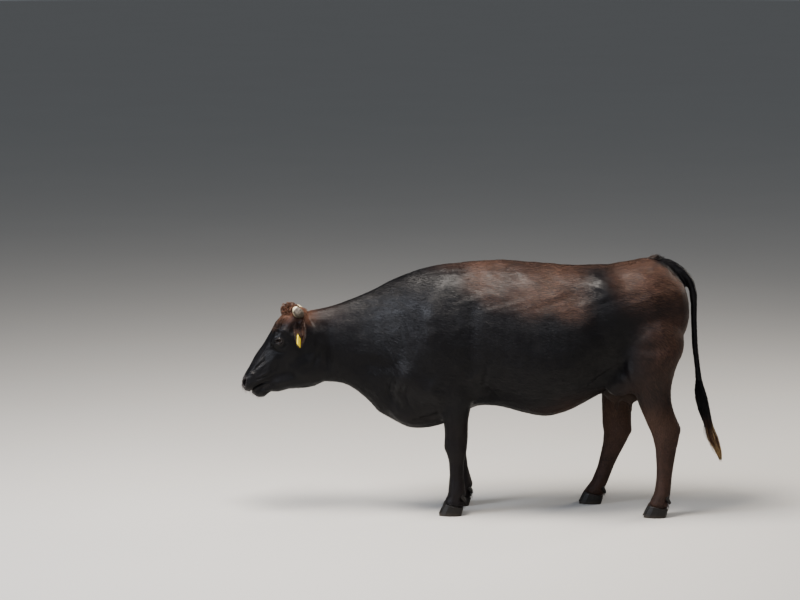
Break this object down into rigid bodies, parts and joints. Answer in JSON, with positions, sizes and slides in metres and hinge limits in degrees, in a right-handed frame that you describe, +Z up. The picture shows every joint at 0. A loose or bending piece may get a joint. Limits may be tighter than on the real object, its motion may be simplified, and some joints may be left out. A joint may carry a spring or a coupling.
{
  "type": "cow",
  "caption": "Standing adult beef cow, black with a brown cast, a still life-size figure with hanging ears, short horn stubs and plain ear tags.",
  "frame": {"origin": "on the floor, under the middle of the cow's bounding box", "axes": "+Z up, -X towards the head, -Y towards the cow's left side, hooves on Z = 0"},
  "size_m": [2.5106, 0.6616, 1.335],
  "materials": {
    "black_coat": "short glossy black hair with a blue-grey sheen, brown on the back, rump and legs",
    "brown_hair": "longer dull red-brown hair",
    "horn": "ivory horn, grey and rough at its blunt end",
    "claw_horn": "dark grey hoof horn, satin",
    "eye": "wet, nearly black",
    "tag_plastic": "flexible yellow plastic, bare",
    "udder_skin": "thin brownish skin with sparse hair"
  },
  "bodies": {
    "root": {"ear_left": "black_coat", "ear_right": "black_coat", "eye_left": "eye", "eye_right": "eye", "foreleg_left_cannon": "black_coat", "foreleg_left_claw_inner": "claw_horn", "foreleg_left_claw_outer": "claw_horn", "foreleg_left_dewclaw_inner": "claw_horn", "foreleg_left_dewclaw_outer": "claw_horn", "foreleg_left_foot": "black_coat", "foreleg_left_upper": "black_coat", "foreleg_right_cannon": "black_coat", "foreleg_right_claw_inner": "claw_horn", "foreleg_right_claw_outer": "claw_horn", "foreleg_right_dewclaw_inner": "claw_horn", "foreleg_right_dewclaw_outer": "claw_horn", "foreleg_right_foot": "black_coat", "foreleg_right_upper": "black_coat", "head": "black_coat", "hindleg_left_cannon": "black_coat", "hindleg_left_claw_inner": "claw_horn", "hindleg_left_claw_outer": "claw_horn", "hindleg_left_dewclaw_inner": "claw_horn", "hindleg_left_dewclaw_outer": "claw_horn", "hindleg_left_foot": "black_coat", "hindleg_left_upper": "black_coat", "hindleg_right_cannon": "black_coat", "hindleg_right_claw_inner": "claw_horn", "hindleg_right_claw_outer": "claw_horn", "hindleg_right_dewclaw_inner": "claw_horn", "hindleg_right_dewclaw_outer": "claw_horn", "hindleg_right_foot": "black_coat", "hindleg_right_upper": "black_coat", "horn_left": "horn", "horn_right": "horn", "muzzle": "black_coat", "neck": "black_coat", "poll_tuft": "brown_hair", "tag_left": "tag_plastic", "tag_right": "tag_plastic", "tail_dock": "black_coat", "tail_root": "black_coat", "tail_switch": "brown_hair", "trunk": "black_coat", "udder": "udder_skin"}
  },
  "joints": []
}
